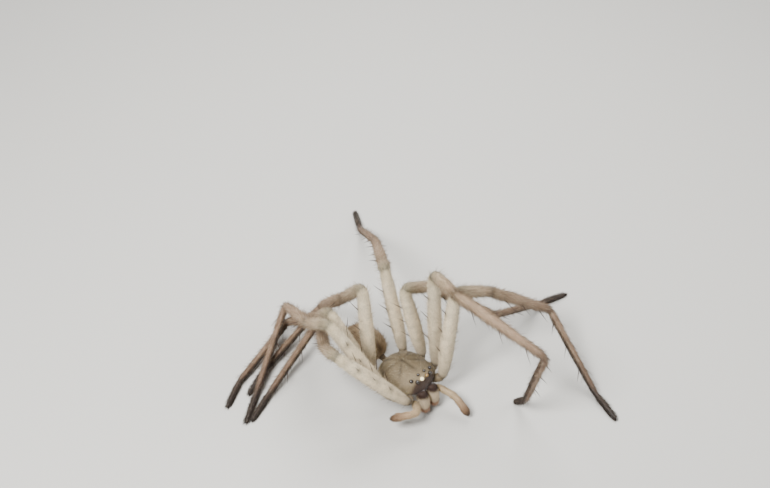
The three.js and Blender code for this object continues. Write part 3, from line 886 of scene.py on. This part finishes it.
def abdomen_colours(grid):
    """Tan with a darker heart mark along the middle and a pale border to it.

    Paired pits lie beside the mark, faint chevrons behind it, and the flanks are a shade darker.
    """
    local = grid - STERNUM
    aside, height = np.abs(local[..., 0]), local[..., 2] - ABDOMEN["z"]
    along = (local[..., 1] - ABDOMEN["front"]) / ABDOMEN["length"]
    top = ramp(height, -0.5, 1.1)
    heart = bell(aside, 0, 0.75 - 0.4 * along) * ramp(along, 0.62, 0.52)
    border = bell(aside, 1.4, 0.5) * ramp(along, 0.8, 0.6)
    chevrons = ramp(np.sin(along * 26 - aside * 1.3), 0.3, 0.8) * ramp(along, 0.5, 0.7)
    pits = sum(bell(aside, 1.7, 0.22) * bell(along, p, 1 / 34) for p in (0.28, 0.46, 0.62))
    marks = np.clip((heart * 0.6 + chevrons * 0.35 + pits * 0.9) * top, 0, 1)
    base = tinted(plain(grid, "#ad9472"), "#947a5a", ramp(aside, 0, 5) ** 2 * 0.6)
    base = tinted(base, "#c6b08c", border * top * 0.4)
    base = tinted(base, "#644d34", marks)
    return tinted(base, "#8a7354", ramp(height, -2.2, -3.7))


def tube(name, points, radii, code, sides=18, steps=8):
    """A small round tube through a few points, in straight runs of a few steps each."""
    points = np.asarray(points) + STERNUM
    at = np.arange(len(points))
    q = np.linspace(0, at[-1], at[-1] * steps + 1)
    path = np.stack([np.interp(q, at, points[:, i]) for i in range(3)], axis=-1)
    grid = rings_about(path, np.interp(q, at, radii)[:, None], circle(sides), (0.1, 0.1, 1.0))
    skin_piece(name, grid, plain(grid, code), "body")


def make_spinneret(label, side, drop, size):
    """A short peg at the rear of the abdomen, narrower over its last two fifths."""
    p = SPINNERET
    rear = ABDOMEN["front"] + ABDOMEN["length"]
    root = np.array([side * p["apart"], rear - p["root"], ABDOMEN["z"] - p["drop"] - drop])
    tip = root + (side * p["splay"], p["length"] * size + p["overlap"], -p["splay"])
    points = [root, mix(root, tip, 0.55), mix(root, tip, 0.6), tip]
    radii = np.array((1, 1, 0.85, 0.4)) * p["radius"] * size
    tube("spinneret_" + label, points, radii, "#6b563e")


def make_abdomen():
    """The abdomen with its down and bristles, its stalk and the spinnerets."""
    grid = abdomen_grid()
    colours = abdomen_colours(grid)
    skin_piece("abdomen_skin", grid, colours, "body", ["abdomen"])
    rng = np.random.default_rng(8)
    back = unit((grid - STERNUM) * (0.05, 0, -0.02) + (0, 1.0, 0))
    even = np.ones(grid.shape[:2])
    body_coat("abdomen_down", grid, colours * 1.12, even, 17000, even * 0.95, back, 28, rng)
    body_coat("abdomen_bristles", grid, mix(colours, linear("#6a543e"), 0.5), even, 1600, even * 1.9,
              back, 46, rng, (0.06, 0.09))
    tube("pedicel_skin", PEDICEL["points"], PEDICEL["radii"], "#5f4e38")
    for row in SPINNERETS:
        make_spinneret(*row)


def chelicera_grid(side, inset=0.14, rows=48, cols=40):
    """A stout jaw: its half thickness swells below the face and closes at the fang's hinge."""
    c = CHELICERA
    start = np.array([side * c["apart"], -c["ahead"] + c["set_back"], c["top"]])
    end = np.array([side * c["apart"], -c["ahead"] - c["slant"], c["bottom"]])
    s = (1 - np.cos(np.linspace(0, math.pi, rows))) / 2
    path = mix(start, end, s[:, None])
    path[:, 1] -= c["bow"] * np.sin(math.pi * s)
    radius = between_marks(JAW_SHAPE, s) * c["width"] / 2 - inset
    return rings_about(path, radius[:, None], circle(cols), (0, -1.0, 0)) + STERNUM


def make_chelicera(label, side):
    """A pale jaw, dark under the face and brown at the fang, with down and a reddish fringe."""
    grid = chelicera_grid(side)
    z = grid[..., 2] - STERNUM[2]
    low = ramp(z, 4.2, 2.6)
    colours = tinted(plain(grid, "#c4b296"), FACE_BROWN, ramp(z, 6.9, 7.6))
    colours = tinted(colours, "#6a4630", low * 0.8)
    skin_piece("chelicera_skin_" + label, grid, colours, "body", ["chelicera_" + label])
    rng = np.random.default_rng(20 + side)
    down = np.broadcast_to(np.array([0, -0.15, -1.0]), grid.shape)
    even = np.ones(grid.shape[:2])
    body_coat("chelicera_down_" + label, grid, colours * 1.15, even, 3600, even * 0.75, down, 30,
              rng)
    body_coat("chelicera_fringe_" + label, grid, mix(colours, linear("#a8684a"), 0.45),
              low + LEAST_WEIGHT, 700, even * 1.5, down, 40, rng)


def make_fang(label, side, rings=28, sides=20):
    """A tapering horn folded back under the jaw, turning inwards by equal angles."""
    s = np.linspace(0, 1, rings)
    turn = np.radians(FANG["turn"] + FANG["curl"] * s)
    way = np.stack([-side * np.sin(turn) * FANG["inward"], np.cos(turn) * FANG["back"],
                    FANG["down"] * (s - 1)], axis=-1)
    step = unit(way) * FANG["length"] / (rings - 1)
    start = np.array([side * CHELICERA["apart"], -CHELICERA["ahead"] - CHELICERA["slant"],
                      CHELICERA["bottom"] - FANG["below"]])
    path = start + np.cumsum(step, axis=0) - step[0] + STERNUM
    radius = FANG["radius"] * (1 - 0.9 * s ** 1.5)
    grid = rings_about(path, radius[:, None], circle(sides), (0, 0, 1.0))
    skin_piece("fang_horn_" + label, grid, plain(grid, HORN_BLACK), "fang", ["fang_" + label])


def make_palp(label, side):
    """A palp: a short limb of four segments, pale with a dark tip, under an even down."""
    joints = [np.array([side * PALP["aside"], -PALP["ahead"], PALP["z"]])]
    for length, pose in zip(PALP["lengths"], PALP_POSE[label]):
        joints.append(joints[-1] + heading(side, *pose) * length)
    joints = np.array(joints) + STERNUM
    joints[0] += (0, PALP["sunk"], 0)
    grid, stations, angle = limb_grid(joints, PALP_SHAPE, **PALP_RINGS)
    colours = bands(stations, PALP_COLOURS, len(angle))
    skin_piece("palp_skin_" + label, grid, colours, "skin", ["palp_" + label])
    rng = np.random.default_rng(30 + side)
    even = np.ones(grid.shape[:2])
    reach = even * between_marks(PALP_DOWN, stations)[:, None]
    body_coat("palp_down_" + label, grid, colours * 1.05, even, 3600, reach, grid_normals(grid)[1], 34,
              rng)


def make_eye(name, eye, side, rows=24, cols=36, cap=0.02):
    """A lens: a plain round ball, partly sunk in the head; cap is the opening at its poles."""
    centre = np.array([side * eye["side"], -eye["ahead"], eye["z"]])
    polar = np.linspace(cap, math.pi - cap, rows)[:, None]
    a = circle(cols)[None, :]
    ball = np.stack([np.sin(polar) * np.cos(a), np.sin(polar) * np.sin(a), -np.cos(polar) + 0 * a], axis=-1)
    grid = centre + ball * eye["radius"] + STERNUM
    label = f"{name}_{'left' if side > 0 else 'right'}"
    lens = LIT_EYES.get(label, "dark")
    skin_piece("lens_" + label, grid, np.ones_like(grid), lens, ["eye_" + label])


def make_floor():
    """A plain pale floor."""
    corners = np.array([[-1, -1, 0], [1, -1, 0], [1, 1, 0], [-1, 1, 0]]) * FLOOR_HALF
    material, tree, shader = new_material("Matt painted floor")
    set_inputs(tree, shader, {"Base Color": (*linear("#c9c7c1"), 1), "Roughness": 0.8})
    build_mesh("floor", corners, [np.array([[0, 1, 2, 3]])], material, smooth=False)


def camera_vectors():
    """The camera's forward, right and up directions."""
    e, h = math.radians(DEPRESSION), math.radians(HEADING)
    forward = np.array([math.sin(h) * math.cos(e), math.cos(h) * math.cos(e), -math.sin(e)])
    right = np.array([math.cos(h), -math.sin(h), 0])
    return forward, right, np.cross(right, forward)


def make_camera():
    """A camera that puts the sternum's middle at its pixel of the photograph."""
    forward, right, up = camera_vectors()
    aside, below = ((aim - wide / 2) / FOCAL_PIXELS for aim, wide in zip(AIM_PIXEL, IMAGE))
    ray = forward + right * aside - up * below
    data = bpy.data.cameras.new("camera")
    data.sensor_width = SENSOR_WIDTH
    data.sensor_fit = "HORIZONTAL"
    data.lens = SENSOR_WIDTH * FOCAL_PIXELS / IMAGE[0]
    data.clip_start = NEAR_CLIP
    camera = add_object("camera", data)
    matrix = np.eye(4)
    matrix[:3, :3] = np.stack([right, up, -forward], axis=1)
    matrix[:3, 3] = (STERNUM + (0, 0, AIM_Z) - ray * DISTANCE) * MM
    camera.matrix_world = Matrix(matrix.tolist())
    bpy.context.scene.camera = camera


def make_light(name, light):
    """A disk light that faces the sternum."""
    directions = (*camera_vectors(), np.array([0, 0, 1.0]))
    way = sum(share * direction for share, direction in zip(light["way"], directions))
    data = bpy.data.lights.new(name, "AREA")
    data.shape = "DISK"
    data.size = light["size"] * MM
    data.energy = light["watts"]
    lamp = add_object(name, data)
    lamp.location = tuple((STERNUM + way) * MM)
    lamp.rotation_euler = Vector(tuple(-way * MM)).to_track_quat("-Z", "Y").to_euler()


def make_sky():
    """A pale even sky that fills the shadows."""
    world = bpy.data.worlds.new("studio")
    world.use_nodes = True
    set_inputs(world.node_tree, world.node_tree.nodes["Background"],
               {"Color": (*linear(SKY["colour"]), 1), "Strength": SKY["strength"]})
    bpy.context.scene.world = world


make_camera()
make_floor()
# A broad key by the camera, as in the photograph, a fill from the right and a rim from behind
for light_name, light_data in LIGHTS.items():
    make_light(light_name, light_data)
make_sky()
make_prosoma()
make_abdomen()
leg_lines = {name: leg_joints(leg, 1 if name[0] == "l" else -1) for name, leg in LEGS.items()}
for leg_name, leg_data in LEGS.items():
    make_leg(leg_name, leg_data, leg_lines)
for label, side in (("left", 1), ("right", -1)):
    make_chelicera(label, side)
    make_fang(label, side)
    make_palp(label, side)
    for eye_name, eye_data in EYES.items():
        make_eye(eye_name, eye_data, side)
